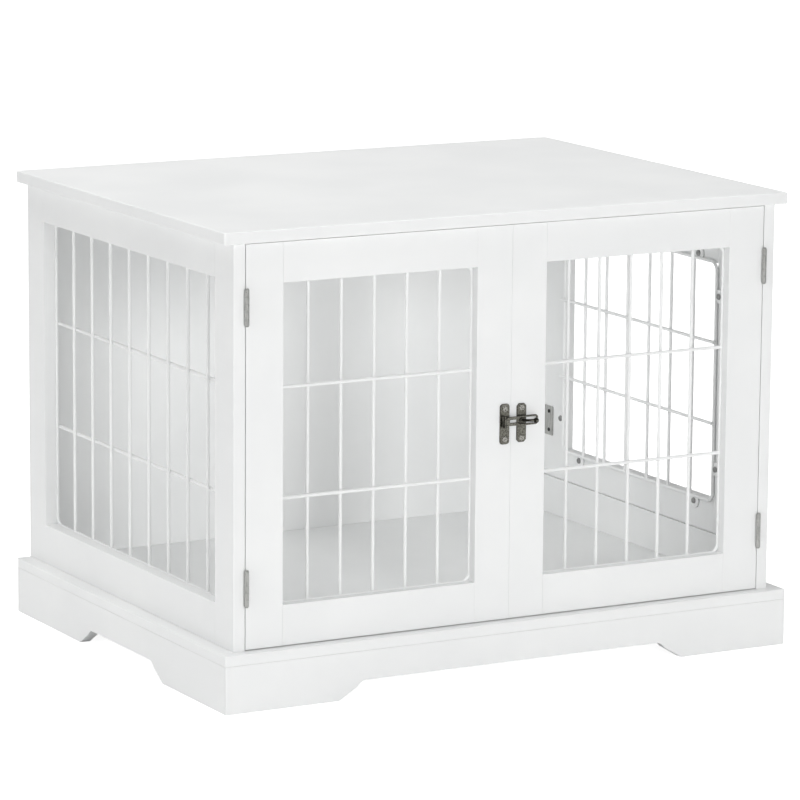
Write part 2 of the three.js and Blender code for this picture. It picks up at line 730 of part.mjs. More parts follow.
addTableTop(crate);
addPlinth(crate);
addSides(crate);
addSideGrille(crate);
addFrontDoor(crate, 'left', -1);
addFrontDoor(crate, 'right', 1);
addSideDoor(crate);
addLatch(crate, 'front_latch', [0, bodyFront, latchHeight], 0);
addLatch(crate, 'side_latch',
  [halfBody, (sideWindow.front + sideDoor.front) / 2, (sideDoor.low + sideDoor.high) / 2], Math.PI / 2);

export default crate;
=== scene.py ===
"""A white dog crate that serves as an end table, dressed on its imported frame.

Boards, wire grilles, butt hinges and swing-bar latches are modelled at the places that the frame's nodes
give. Lengths in the comments and constants are millimetres, and MM turns them into metres.
"""

import json
import math

import bmesh
import bpy
from mathutils import Matrix, Vector


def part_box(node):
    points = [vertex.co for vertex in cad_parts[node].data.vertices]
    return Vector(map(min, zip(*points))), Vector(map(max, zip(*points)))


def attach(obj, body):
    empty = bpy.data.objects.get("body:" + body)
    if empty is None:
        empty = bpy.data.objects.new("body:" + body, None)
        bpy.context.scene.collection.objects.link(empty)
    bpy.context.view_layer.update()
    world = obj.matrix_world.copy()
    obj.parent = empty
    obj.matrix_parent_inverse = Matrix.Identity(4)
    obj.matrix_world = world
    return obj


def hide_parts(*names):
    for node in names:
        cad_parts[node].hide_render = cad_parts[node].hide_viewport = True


MM = 0.001

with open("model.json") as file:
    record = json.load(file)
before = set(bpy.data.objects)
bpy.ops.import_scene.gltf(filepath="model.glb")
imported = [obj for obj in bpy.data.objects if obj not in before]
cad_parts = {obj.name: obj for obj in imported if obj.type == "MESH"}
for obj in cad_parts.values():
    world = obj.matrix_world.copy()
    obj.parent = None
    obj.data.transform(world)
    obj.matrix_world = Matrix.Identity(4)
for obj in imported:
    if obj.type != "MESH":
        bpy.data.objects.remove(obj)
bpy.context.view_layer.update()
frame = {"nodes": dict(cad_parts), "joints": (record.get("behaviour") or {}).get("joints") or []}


# ---- camera ---------------------------------------------------------------------------------------------

def place_camera():
    """The viewpoint from which the crate shows its front, its left side and a sliver of its top."""
    place = Vector((-2.78471, -5.076975, 1.394807))
    yaw, pitch, roll = 0.50226523, 0.18642807, 0.00761756
    forward = Vector((math.sin(yaw) * math.cos(pitch), math.cos(yaw) * math.cos(pitch), -math.sin(pitch)))
    right = Vector((math.cos(yaw), -math.sin(yaw), 0))
    up = right.cross(forward)
    tilted_right = right * math.cos(roll) + up * math.sin(roll)
    tilted_up = up * math.cos(roll) - right * math.sin(roll)
    camera = bpy.data.objects.new("camera", bpy.data.cameras.new("camera"))
    bpy.context.scene.collection.objects.link(camera)
    turn = Matrix((tilted_right, tilted_up, -forward)).transposed().to_4x4()
    camera.matrix_world = Matrix.Translation(place) @ turn
    camera.data.sensor_width = 36
    camera.data.lens = 204.52
    camera.data.clip_end = 100
    bpy.context.scene.camera = camera


# ---- materials ------------------------------------------------------------------------------------------

class Value:
    """A number that varies over a surface. Python's operators add the Math nodes."""

    def __init__(self, look, socket):
        self.look, self.socket = look, socket

    def maths(self, operation, *others):
        return self.look.node("ShaderNodeMath", {"operation": operation}, dict(enumerate((self, *others))))

    def __add__(self, other):
        return self.maths("ADD", other)

    __radd__ = __add__

    def __mul__(self, other):
        return self.maths("MULTIPLY", other)

    __rmul__ = __mul__

    def __sub__(self, other):
        return self.maths("SUBTRACT", other)

    def __rsub__(self, other):
        return self.look.node("ShaderNodeMath", {"operation": "SUBTRACT"}, {0: other, 1: self})

    def between(self, low, high):
        """0 below low and 1 above high, smooth from one to the other."""
        return self.look.node("ShaderNodeMapRange", {"interpolation_type": "SMOOTHSTEP"},
                              {"Value": self, "From Min": low, "From Max": high})


class Look:
    """A material with one Principled surface, whose patterns read object coordinates."""

    def __init__(self, name, **fixed):
        self.material = bpy.data.materials.new(name)
        self.material.use_nodes = True
        self.tree = self.material.node_tree
        self.surface = next(n for n in self.tree.nodes if n.type == "BSDF_PRINCIPLED")
        for socket, value in fixed.items():
            self.surface.inputs[socket.replace("_", " ")].default_value = value
        self.place = self.node("ShaderNodeTexCoord", output="Object")

    def node(self, kind, settings=None, inputs=None, output=0):
        """Adds a node, with its settings and then the values or links of its inputs."""
        made = self.tree.nodes.new(kind)
        for name, value in (settings or {}).items():
            setattr(made, name, value)
        for name, value in (inputs or {}).items():
            self.give(made.inputs[name], value)
        return Value(self, made.outputs[output])

    def give(self, socket, value):
        if isinstance(value, Value):
            self.tree.links.new(value.socket, socket)
        else:
            socket.default_value = value

    def noise(self, scale, detail=2, roughness=0.5, stretch=(1, 1, 1)):
        """Noise from 0 to 1, of scale waves a metre, drawn out along an axis by a stretch below 1."""
        place = self.node("ShaderNodeMapping", None, {"Vector": self.place, "Scale": stretch})
        return self.node("ShaderNodeTexNoise", None,
                         {"Vector": place, "Scale": scale, "Detail": detail, "Roughness": roughness})

    def mixed(self, amount, first, second):
        """A colour between two colours."""
        return self.node("ShaderNodeMix", {"data_type": "RGBA"},
                         {0: amount, 6: first, 7: second}, output=2)

    def facing(self, axis):
        """How squarely the surface faces along an axis of the crate, from 0 to 1."""
        normal = self.node("ShaderNodeTexCoord", output="Normal")
        parts = self.node("ShaderNodeSeparateXYZ", None, {0: normal}, output="XYZ".index(axis))
        return parts.maths("ABSOLUTE")

    def relief(self, height, depth):
        """A normal raised by a height from 0 to 1, over a depth in metres."""
        return self.node("ShaderNodeBump", None, {"Height": height, "Distance": depth, "Strength": 1.0},
                         output="Normal")

    def paint(self, **sockets):
        """Gives the surface's sockets their values and returns the finished material."""
        for socket, value in sockets.items():
            self.give(self.surface.inputs[socket.replace("_", " ")], value)
        return self.material


def board_paint(name, grain):
    """Sprayed white satin paint, through which the board's grain, along one axis, just shows."""
    look = Look(name, IOR=1.46)
    drawn_out = tuple(0.03 if axis == grain else 1 for axis in "xyz")
    grain_lines = look.noise(420, 4, 0.6, drawn_out)
    cloud = look.noise(7, 3, 0.55)
    peel = look.noise(900, 2, 0.5)
    colour = look.mixed(cloud.between(0.3, 0.75), (0.845, 0.853, 0.852, 1), (0.875, 0.882, 0.878, 1))
    dust = look.noise(160, 5, 0.7).between(0.62, 0.8) * 0.12
    colour = look.mixed(dust, colour, (0.80, 0.80, 0.785, 1))
    height = grain_lines * 0.6 + peel * 0.4
    return look.paint(
        Base_Color=colour,
        Roughness=0.36 + cloud * 0.1 + grain_lines * 0.08,
        Normal=look.relief(height, 0.00006),
    )


def wire_coat():
    """White powder coat on wire, a little glossier than the boards, with its fine orange peel."""
    look = Look("white powder coat", IOR=1.5)
    peel = look.noise(1600, 2, 0.5)
    cloud = look.noise(35, 2, 0.5)
    colour = look.mixed(cloud, (0.865, 0.873, 0.873, 1), (0.90, 0.905, 0.90, 1))
    return look.paint(
        Base_Color=colour,
        Roughness=0.26 + cloud * 0.12,
        Normal=look.relief(peel, 0.00008),
    )


def hinge_nickel():
    """Grey nickel plate, brushed along the pins and clouded by handling."""
    look = Look("grey nickel", Metallic=1.0)
    brush = look.noise(2600, 3, 0.6, (1, 1, 0.04))
    cloud = look.noise(230, 3, 0.6)
    streak = look.noise(700, 3, 0.6, (1, 1, 0.1)).between(0.38, 0.66)
    colour = look.mixed(cloud, (0.30, 0.30, 0.29, 1), (0.50, 0.50, 0.485, 1))
    colour = look.mixed(streak * 0.5, colour, (0.66, 0.66, 0.645, 1))
    return look.paint(
        Base_Color=colour,
        Roughness=0.2 + brush * 0.14 + cloud * 0.06,
        Normal=look.relief(brush, 0.00003),
    )


def latch_plating():
    """Antique nickel of an olive cast, mottled, with painted shade that darkens its edges, which face
    neither the front nor the side.
    """
    look = Look("antique nickel", Metallic=1.0)
    mottle = look.noise(520, 5, 0.7).between(0.34, 0.66)
    cloud = look.noise(120, 3, 0.6)
    pits = look.noise(2400, 3, 0.6)
    face = look.mixed(mottle, (0.09, 0.087, 0.072, 1), (0.30, 0.295, 0.255, 1))
    face = look.mixed(cloud.between(0.5, 0.75) * 0.35, face, (0.44, 0.43, 0.38, 1))
    # Painted shade: faces turned away from both X and Y, the plates' edges and rounded rims, are coloured
    # nearly black.
    painted_shade_mask = look.facing("Y").maths("MAXIMUM", look.facing("X"))
    colour = look.mixed(painted_shade_mask.between(0.86, 0.99), (0.02, 0.019, 0.016, 1), face)
    return look.paint(
        Base_Color=colour,
        Roughness=0.36 - mottle * 0.10 + pits * 0.08,
        Normal=look.relief(pits * 0.5 + mottle * 0.5, 0.00005),
    )


def latch_screw_plating():
    """Bright nickel on the latches' screws."""
    look = Look("bright nickel", Metallic=1.0)
    cloud = look.noise(900, 3, 0.6)
    colour = look.mixed(cloud.between(0.35, 0.65), (0.22, 0.215, 0.19, 1), (0.62, 0.61, 0.57, 1))
    return look.paint(Base_Color=colour, Roughness=0.2 + cloud * 0.14,
                      Normal=look.relief(cloud, 0.00003))


def screw_steel(name, dark, pale):
    """Plated screws, a little clouded by the driver."""
    look = Look(name, Metallic=1.0)
    turned = look.noise(1800, 3, 0.6)
    colour = look.mixed(turned, (dark, dark, dark, 1), (pale, pale, pale * 0.98, 1))
    return look.paint(Base_Color=colour, Roughness=0.28 + turned * 0.16,
                      Normal=look.relief(turned, 0.00003))


# ---- modelling by operators -----------------------------------------------------------------------------

TOUCH = 0.001 * MM  # points closer than this are one point
SHARP = 0.5  # radians between two faces, past which their edge counts as sharp


def select_only(*objects):
    """Selects these objects, the first of them active, and nothing else."""
    bpy.ops.object.select_all(action="DESELECT")
    for obj in objects:
        obj.select_set(True)
    if objects:
        bpy.context.view_layer.objects.active = objects[0]


def block(low, high):
    """A box between two corners, in metres."""
    select_only()
    low, high = Vector(low), Vector(high)
    bpy.ops.mesh.primitive_cube_add(size=1, location=(low + high) / 2)
    made = bpy.context.object
    made.scale = high - low
    bpy.ops.object.transform_apply(location=True, rotation=True, scale=True)
    return made


def rod(start, end, radius, sides):
    """A straight round rod from point to point."""
    select_only()
    start, end = Vector(start), Vector(end)
    run = end - start
    turn = run.to_track_quat("Z", "Y").to_euler()
    bpy.ops.mesh.primitive_cylinder_add(vertices=sides, radius=radius, depth=run.length,
                                        location=(start + end) / 2, rotation=turn)
    bpy.ops.object.transform_apply(location=True, rotation=True, scale=True)
    return bpy.context.object


def ball(centre, radius, rings, squeeze=(1, 1, 1)):
    """A ball of so many rings, squeezed along the axes."""
    select_only()
    bpy.ops.mesh.primitive_uv_sphere_add(segments=2 * rings, ring_count=rings, radius=radius,
                                         location=centre)
    made = bpy.context.object
    made.scale = squeeze
    bpy.ops.object.transform_apply(location=True, rotation=True, scale=True)
    return made


def ease_edges(piece, width, segments, chosen=lambda middle, run: True):
    """Bevels the edges that chosen picks by their middle and direction."""
    select_only(piece)
    bpy.ops.object.mode_set(mode="EDIT")
    bpy.ops.mesh.select_mode(type="EDGE")
    bpy.ops.mesh.select_all(action="DESELECT")
    mesh = bmesh.from_edit_mesh(piece.data)
    for edge in mesh.edges:
        a, b = (v.co for v in edge.verts)
        sharp = len(edge.link_faces) == 2 and edge.calc_face_angle() > SHARP
        if sharp and chosen((a + b) / 2, (b - a).normalized()):
            edge.select_set(True)
    bmesh.update_edit_mesh(piece.data)
    bpy.ops.mesh.bevel(offset=width, segments=segments, affect="EDGES", clamp_overlap=True)
    bpy.ops.object.mode_set(mode="OBJECT")
    return piece


def along(axis):
    """Picks edges that run along an axis."""
    i = "xyz".index(axis)
    return lambda middle, run: abs(run[i]) > 0.99


def at_level(axis, level):
    """Picks edges that lie at a level of an axis."""
    i = "xyz".index(axis)
    return lambda middle, run: abs(middle[i] - level) < TOUCH and abs(run[i]) < 0.01


def joined(*pieces):
    """Several pieces made one object, which is the first of them."""
    select_only(*pieces)
    bpy.ops.object.join()
    return bpy.context.object


def close_mesh(piece):
    """Merges the points that touch, so that the piece is closed, and turns its faces outwards."""
    select_only(piece)
    bpy.ops.object.mode_set(mode="EDIT")
    bpy.ops.mesh.select_all(action="SELECT")
    bpy.ops.mesh.remove_doubles(threshold=TOUCH)
    bpy.ops.mesh.normals_make_consistent(inside=False)
    bpy.ops.object.mode_set(mode="OBJECT")


def placed_copy(master, matrix):
    """A copy of a piece with its own mesh, whose points are moved by a matrix."""
    copy = bpy.data.objects.new(master.name, master.data.copy())
    bpy.context.scene.collection.objects.link(copy)
    copy.data.transform(matrix)
    return copy


def dispose(*masters):
    """Removes the pieces that only copies were made of."""
    for master in masters:
        bpy.data.objects.remove(master)


def finished(piece, name, look, body, slot, *nodes):
    """Shades a piece, names it and puts it on its body in the place of the nodes it stands for."""
    select_only(piece)
    bpy.ops.object.shade_smooth()
    weights = piece.modifiers.new("weights", "WEIGHTED_NORMAL")
    weights.weight = 100
    bpy.ops.object.modifier_apply(modifier=weights.name)
    piece.name = name
    piece.data.name = name
    piece.data.materials.clear()
    piece.data.materials.append(look)
    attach(piece, body)
    if nodes:
        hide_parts(*nodes)
    return piece


# ---- boards ---------------------------------------------------------------------------------------------

BOARD_EASE = 0.35 * MM  # the rounding of a board's long edges
END_EASE = 0.12 * MM  # the rounding of its ends, which butt against other boards
SAWN_EASE = 0.6 * MM  # the rounding of the skirts' and the corner blocks' edges

# How far each door's rim stands out at its low and high side, along X, Y and Z.
DOOR_RIM_PAINT = {
    "left_door": ((0.65 * MM, 0.72 * MM), (0, 0), (0.6 * MM, 0)),
    "right_door": ((0.72 * MM, 0.65 * MM), (0, 0), (0.6 * MM, 0)),
    "side_door": ((0, 0), (0.5 * MM, 0.6 * MM), (1.2 * MM, 0.4 * MM)),
}
RIM_TOUCH = 0.01 * MM  # a board's face closer than this to the door's outside is part of its rim


def make_board(node, body, grain, paints, around=None):
    """A board that runs along its grain: its long edges are eased, and its ends, which butt, hardly.

    Paint builds up round a door's rim, so a board of a door, whose corners come in around, is a little
    larger there and leaves a finer seam.
    """
    low, high = (Vector(corner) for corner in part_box(node))
    if around:
        for i, growth in enumerate(DOOR_RIM_PAINT[body]):
            if abs(low[i] - around[0][i]) < RIM_TOUCH:
                low[i] -= growth[0]
            if abs(high[i] - around[1][i]) < RIM_TOUCH:
                high[i] += growth[1]
    piece = block(low, high)
    ease_edges(piece, BOARD_EASE, 3, along(grain))
    i = "xyz".index(grain)
    for level in (low[i], high[i]):
        ease_edges(piece, END_EASE, 2, at_level(grain, level))
    finished(piece, node + "_board", paints[grain], body, "white_board", node)


def make_table_top(paints):
    """The top: one board, its corners rounded and its edges eased above and below."""
    low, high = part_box("table_top")
    corner, ease = 3 * MM, 1.5 * MM
    piece = block(low, high)
    ease_edges(piece, corner, 6, along("z"))
    for level in (low[2], high[2]):
        ease_edges(piece, ease, 4, at_level("z", level))
    finished(piece, "table_top_board", paints["x"], "carcass", "white_board", "table_top")


def make_plinth_board(paints):
    """The board on the plinth, which is the cabin's floor and shows as a ledge all round."""
    low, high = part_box("plinth_board")
    corner, upper_ease, lower_ease = 1.0 * MM, 0.8 * MM, 0.4 * MM
    piece = block(low, high)
    ease_edges(piece, corner, 4, along("z"))
    ease_edges(piece, upper_ease, 3, at_level("z", high[2]))
    ease_edges(piece, lower_ease, 2, at_level("z", low[2]))
    finished(piece, "plinth_top_board", paints["x"], "carcass", "white_board", "plinth_board")


def make_sawn_board(node, grain, paints):
    """A board of a sawn outline, such as a skirt with its foot cut-outs, refined from its node."""
    piece = placed_copy(frame["nodes"][node], Matrix.Identity(4))
    close_mesh(piece)
    bpy.ops.object.mode_set(mode="EDIT")
    bpy.ops.mesh.select_all(action="SELECT")
    bpy.ops.mesh.dissolve_limited(angle_limit=math.radians(1))
    bpy.ops.object.mode_set(mode="OBJECT")
    ease_edges(piece, SAWN_EASE, 3)
    finished(piece, node + "_board", paints[grain], "carcass", "white_board", node)


# ---- screws ---------------------------------------------------------------------------------------------

FACING_BACK = Matrix.Rotation(math.pi, 4, "Z")  # turns a screw head that faces -Y to face +Y


def pan_screw(radius, height):
    """A domed screw head with a cross recess, standing on the plane Y = 0 and facing -Y."""
    sunk, dome, recess = 0.05 * MM, 0.62 * height, 0.55 * height
    arm, half_slot = 0.52 * radius, 0.13 * radius
    head = rod((0, sunk, 0), (0, -height, 0), radius, 28)
    ease_edges(head, dome, 5, at_level("y", -height))
    for x, z in ((arm, half_slot), (half_slot, arm)):
        cutter = block((-x, -height - 1 * MM, -z), (x, recess - height, z))
        select_only(head)
        cut = head.modifiers.new("recess", "BOOLEAN")
        cut.operation = "DIFFERENCE"
        cut.solver = "EXACT"
        cut.object = cutter
        bpy.ops.object.modifier_apply(modifier=cut.name)
        dispose(cutter)
    return head


# ---- wire grilles ---------------------------------------------------------------------------------------

WIRE = 2.25 * MM  # the wire's radius
SEAM = 0.1 * MM  # between a board's face and what is screwed to it
WELD = 0.6 * MM  # how deep crossing wires are pressed into each other
CORNER = 12 * MM  # the perimeter wire's bend, to the wire's middle
WIRE_OVERHANG = 1 * MM  # how far a crossing wire ends past the perimeter wire
BEAD = 2.5 * MM  # the weld bead where two wires cross
FILLET = 2.55 * MM  # the weld bead where a wire butts against the perimeter wire
EYELET = 9.5 * MM  # an eyelet's radius
EYELET_THICK = 2.5 * MM
EYELET_EASE = 1.2 * MM
EYELET_OUT = 6.5 * MM  # from the perimeter wire's middle out to an eyelet's middle
EYELET_IN = 44 * MM  # from the corner of the perimeter wire along to an eyelet's middle
DOOR_PATTERN = 1.7 * MM  # a door's uprights are spread evenly between points this far past its outer wire
RUNG_PITCH = 137 * MM  # between the two rungs of the front doors and of the left side
RUNG_MIDDLE = 323 * MM  # the height halfway between them
SIDE_RUNG_PITCH = 107 * MM  # between the side door's two rungs, which lie even about its middle


def bent_wire(half_width, half_height, depth):
    """The perimeter wire: a ring of wire drawn along the four sides and spun round the four corners."""
    select_only()
    x, z = half_width - CORNER, half_height - CORNER
    bpy.ops.mesh.primitive_circle_add(vertices=20, radius=WIRE, location=(-x, depth, -half_height),
                                      rotation=(0, math.pi / 2, 0))
    bpy.ops.object.transform_apply(location=True, rotation=True, scale=True)
    bpy.ops.object.mode_set(mode="EDIT")
    bpy.ops.mesh.select_all(action="SELECT")
    for run, centre in (
        ((2 * x, 0, 0), (x, depth, -z)),
        ((0, 0, 2 * z), (x, depth, z)),
        ((-2 * x, 0, 0), (-x, depth, z)),
        ((0, 0, -2 * z), (-x, depth, -z)),
    ):
        bpy.ops.mesh.extrude_region_move(TRANSFORM_OT_translate={"value": run})
        bpy.ops.mesh.spin(steps=8, angle=math.pi / 2, center=centre, axis=(0, 1, 0))
    bpy.ops.object.mode_set(mode="OBJECT")
    wire = bpy.context.object
    close_mesh(wire)
    return wire


def straight_wire(start, end):
    """A length of wire with its cut ends eased."""
    ends = Vector(start), Vector(end)

    def at_an_end(middle, run):
        return any((middle - end).length < 1.5 * WIRE for end in ends)

    return ease_edges(rod(start, end, WIRE, 20), 0.5 * MM, 2, at_an_end)


def make_grille(node, body, place, half_width, half_height, uprights, rungs, rungs_in_front, looks, screw):
    """A welded grille and its screws, drawn in the XZ plane behind the face Y = 0 and then placed."""
    front = SEAM + WIRE
    back = front + 2 * WIRE - WELD
    rung_y, upright_y = (front, back) if rungs_in_front else (back, front)
    past = WIRE + WIRE_OVERHANG
    rung_end = half_width + (0 if rungs_in_front else past)
    upright_end = half_height + (past if rungs_in_front else 0)
    half_pattern = half_width + (DOOR_PATTERN if rungs_in_front else 0)
    columns = [(i + 1) * 2 * half_pattern / (uprights + 1) - half_pattern for i in range(uprights)]
    pieces = [bent_wire(half_width, half_height, front)]
    pieces += [straight_wire((-rung_end, rung_y, z), (rung_end, rung_y, z)) for z in rungs]
    pieces += [straight_wire((x, upright_y, -upright_end), (x, upright_y, upright_end)) for x in columns]

    weld_y = (front + back) / 2
    bead = ball((0, 0, 0), BEAD, 6, (1, 0.5, 1))
    crossings = [(x, z) for x in columns for z in rungs]
    if rungs_in_front:
        crossings += [(x, z) for x in columns for z in (-half_height, half_height)]
        butts = [(x, z) for x in (-half_width, half_width) for z in rungs]
    else:
        crossings += [(x, z) for x in (-half_width, half_width) for z in rungs]
        butts = [(x, z) for x in columns for z in (-half_height, half_height)]
    pieces += [placed_copy(bead, Matrix.Translation((x, weld_y, z))) for x, z in crossings]
    fillet = ball((0, 0, 0), FILLET, 6, (1, 0.8, 1))
    pieces += [placed_copy(fillet, Matrix.Translation((x, front, z))) for x, z in butts]
    dispose(bead, fillet)

    holes = []
    for sx in (-1, 1):
        for sz in (-1, 1):
            holes.append((sx * (half_width + EYELET_OUT), sz * (half_height - EYELET_IN)))
            holes.append((sx * (half_width - EYELET_IN), sz * (half_height + EYELET_OUT)))
    for x, z in holes:
        eyelet = rod((x, SEAM, z), (x, SEAM + EYELET_THICK, z), EYELET, 40)
        pieces.append(ease_edges(eyelet, EYELET_EASE, 4, at_level("y", SEAM + EYELET_THICK)))

    grille = joined(*pieces)
    grille.data.transform(place)
    finished(grille, node + "_wires", looks["wire"], body, "white_wire", node)

    heads = []
    for i, (x, z) in enumerate(holes):
        turned = FACING_BACK @ Matrix.Rotation(0.4 * i, 4, "Y")
        heads.append(placed_copy(screw, place @ Matrix.Translation((x, SEAM + EYELET_THICK, z)) @ turned))
    finished(joined(*heads), node + "_screws", looks["screw"], body, "hinge_nickel")


def grille_place(node, inward):
    """Where a grille hangs: its place, half the width and height of its perimeter wire, and its middle."""
    low, high = (Vector(corner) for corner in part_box(node))
    middle, size = (low + high) / 2, high - low
    edge = EYELET_OUT + EYELET
    if inward == "+y":
        origin = Vector((middle.x, low.y - SEAM, middle.z))
        return Matrix.Translation(origin), size.x / 2 - edge, size.z / 2 - edge, origin
    if inward == "+x":
        origin = Vector((low.x - SEAM, middle.y, middle.z))
        turn = -math.pi / 2
    else:
        origin = Vector((high.x + SEAM, middle.y, middle.z))
        turn = math.pi / 2
    return (Matrix.Translation(origin) @ Matrix.Rotation(turn, 4, "Z"),
            size.y / 2 - edge, size.z / 2 - edge, origin)


def make_all_grilles(looks):
    """The left side's grille and the doors' grilles, each with its way inward from the boards."""
    screw = pan_screw(3.9 * MM, 2.4 * MM)
    for node, body, inward, uprights, pitch, middle in (
        ("left_grille", "carcass", "+x", 8, RUNG_PITCH, RUNG_MIDDLE),
        ("left_door_grille", "left_door", "+y", 5, RUNG_PITCH, RUNG_MIDDLE),
        ("right_door_grille", "right_door", "+y", 5, RUNG_PITCH, RUNG_MIDDLE),
        ("side_door_grille", "side_door", "-x", 6, SIDE_RUNG_PITCH, None),
    ):
        place, half_width, half_height, origin = grille_place(node, inward)
        centre = 0 if middle is None else middle - origin.z
        rungs = [centre - pitch / 2, centre + pitch / 2]
        make_grille(node, body, place, half_width, half_height, uprights, rungs, inward == "+y",
                    looks, screw)
    dispose(screw)


# ---- hinges ---------------------------------------------------------------------------------------------

HINGE_HEIGHT = 43.5 * MM
KNUCKLES = 5
KNUCKLE_GAP = 0.3 * MM
BARREL = 2.9 * MM  # the barrel's radius
BARREL_OUT = 3.2 * MM  # how far its middle stands in front of the boards
PIN = 1.25 * MM  # the pin's radius
PIN_HEAD = 1.2 * MM  # the height of its two heads
PIN_HEAD_RADIUS = 2.3 * MM
LEAF_NEAR = 0.15 * MM  # a leaf's two faces, from the middle of the gap beside the door
LEAF_FAR = 0.7 * MM
LEAF_FRONT = 0.1 * MM  # where a leaf starts behind the boards' front
FRAME_LEAF_DEPTH = 13.7 * MM
WRAP_FACE = 13.1 * MM  # the door leaf's plate, bent round onto the back of the stile
WRAP_BACK = 14.2 * MM
WRAP_HALF = 20.5 * MM
WRAP_REACH = 27 * MM
WRAP_SCREW_IN = 17 * MM
WRAP_SCREW_RISE = 13 * MM


def knuckle(index):
    """One of the barrel's knuckles, counted from the lowest, with the heights of its ends."""
    pitch = (HINGE_HEIGHT + KNUCKLE_GAP) / KNUCKLES
    low = -HINGE_HEIGHT / 2 + index * pitch
    high = low + pitch - KNUCKLE_GAP
    made = rod((0, -BARREL_OUT, low), (0, -BARREL_OUT, high), BARREL, 36)
    return ease_edges(made, 0.35 * MM, 2), low, high


def hinge_leaf(side, own, depth):
    """A leaf in the gap beside the door, with its own knuckles round the pin."""
    near, far = sorted((side * LEAF_NEAR, side * LEAF_FAR))
    half_height = HINGE_HEIGHT / 2
    plate = block((near, LEAF_FRONT, -half_height), (far, depth, half_height))
    parts = [ease_edges(plate, 0.15 * MM, 2, along("z"))]
    neck_front, neck_back = -1.3 * MM, 0.8 * MM
    for index in own:
        barrel, low, high = knuckle(index)
        parts += [barrel, block((near, neck_front, low), (far, neck_back, high))]
    return parts


def hinge_door_leaf():
    """The door's leaf, which wraps round the stile's edge onto its back."""
    wrap = block((-WRAP_REACH, WRAP_FACE, -WRAP_HALF), (-LEAF_NEAR, WRAP_BACK, WRAP_HALF))
    ease_edges(wrap, 2 * MM, 5, lambda middle, run: abs(run.y) > 0.99 and middle.x < -WRAP_REACH / 2)
    ease_edges(wrap, 0.3 * MM, 2, at_level("y", WRAP_BACK))
    return joined(*hinge_leaf(-1, (1, 3), WRAP_BACK), wrap)


def hinge_pin():
    """The pin through the knuckles, with a low domed head at each end."""
    end = HINGE_HEIGHT / 2 + KNUCKLE_GAP
    into_head = 0.2 * MM
    shaft = rod((0, -BARREL_OUT, -end - into_head), (0, -BARREL_OUT, end + into_head), PIN, 24)
    heads = []
    for sign in (-1, 1):
        tip = sign * (end + PIN_HEAD)
        head = rod((0, -BARREL_OUT, sign * end), (0, -BARREL_OUT, tip), PIN_HEAD_RADIUS, 32)
        heads.append(ease_edges(head, 0.7 * MM, 4, at_level("z", tip)))
    return joined(shaft, *heads)


def hinge_screws():
    """The two flat screws of the plate on the stile's back."""
    screw = pan_screw(2.6 * MM, 0.9 * MM)
    sunk = 0.05 * MM
    heads = []
    for z, turned in ((-WRAP_SCREW_RISE, -1.3), (WRAP_SCREW_RISE, 1.3)):
        driven = Matrix.Translation((-WRAP_SCREW_IN, WRAP_BACK - sunk, z)) @ FACING_BACK
        heads.append(placed_copy(screw, driven @ Matrix.Rotation(turned, 4, "Y")))
    dispose(screw)
    return joined(*heads)


def make_hinges(looks):
    """Two hinges for each door, modelled once round the gap beside it and copied to their pins' places."""
    frame_leaf = joined(*hinge_leaf(1, (0, 2, 4), FRAME_LEAF_DEPTH))
    door_leaf, pin, screws = hinge_door_leaf(), hinge_pin(), hinge_screws()

    for door, turn in (
        ("left_door", Matrix.Rotation(math.pi, 4, "Y")),
        ("right_door", Matrix.Identity(4)),
        ("side_door", Matrix.Rotation(math.pi / 2, 4, "Z")),
    ):
        for end in ("upper", "lower"):
            name = f"{door}_{end}_hinge"
            low, high = (Vector(corner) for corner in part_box(name + "_pin"))
            place = Matrix.Translation((low + high) / 2) @ turn @ Matrix.Translation((0, BARREL_OUT, 0))
            for master, part, rides in (
                (frame_leaf, "frame_leaf", "carcass"),
                (door_leaf, "door_leaf", door),
                (pin, "pin", "carcass"),
            ):
                finished(placed_copy(master, place), f"{name}_{part}_metal", looks["hinge"], rides,
                         "hinge_nickel", f"{name}_{part}")
            finished(placed_copy(screws, place), name + "_screws", looks["dark_screw"], door,
                     "hinge_nickel")
    dispose(frame_leaf, door_leaf, pin, screws)


# ---- swing-bar latches ----------------------------------------------------------------------------------

# A latch is drawn round the middle of the gap that it bridges, on the boards' face Y = 0.
PIVOT = Vector((-11.5, -4.7, 3.5)) * MM  # the middle of the bar's pin
BALL = Vector((29.3, -12.4, 3.5)) * MM  # the middle of the ball
BAR_PLATE_X = -9.25 * MM
POST_PLATE_X = 14.75 * MM
PLATE_HALF_WIDTH = 6.75 * MM
PLATE_THICK = 1.5 * MM
PLATE_SCREW_RISE = 19 * MM
SWING_BARREL = 2.6 * MM  # the radius of the barrels on the bar's pin
BAR_BARREL_HALF = 4 * MM
PLATE_BARREL_NEAR = 4.3 * MM  # the ends of the bar plate's barrels, above and below the pin's middle
PLATE_BARREL_FAR = 7.3 * MM
SWING_PIN = 1.2 * MM
POST = 1.6 * MM


def latch_plate(middle_x, half_length, corner_steps, corner):
    """A plate on a board's face, its corners rounded in some steps, or clipped in one."""
    low = (middle_x - PLATE_HALF_WIDTH, -PLATE_THICK, -half_length)
    high = (middle_x + PLATE_HALF_WIDTH, -SEAM, half_length)
    plate = ease_edges(block(low, high), corner, corner_steps, along("y"))
    return ease_edges(plate, 0.5 * MM, 3, at_level("y", -PLATE_THICK))


def upright_barrel(start, end):
    """A barrel round the bar's pin, between two heights over the pin's middle."""
    barrel = rod(PIVOT + Vector((0, 0, start)), PIVOT + Vector((0, 0, end)), SWING_BARREL, 36)
    return ease_edges(barrel, 0.3 * MM, 2)


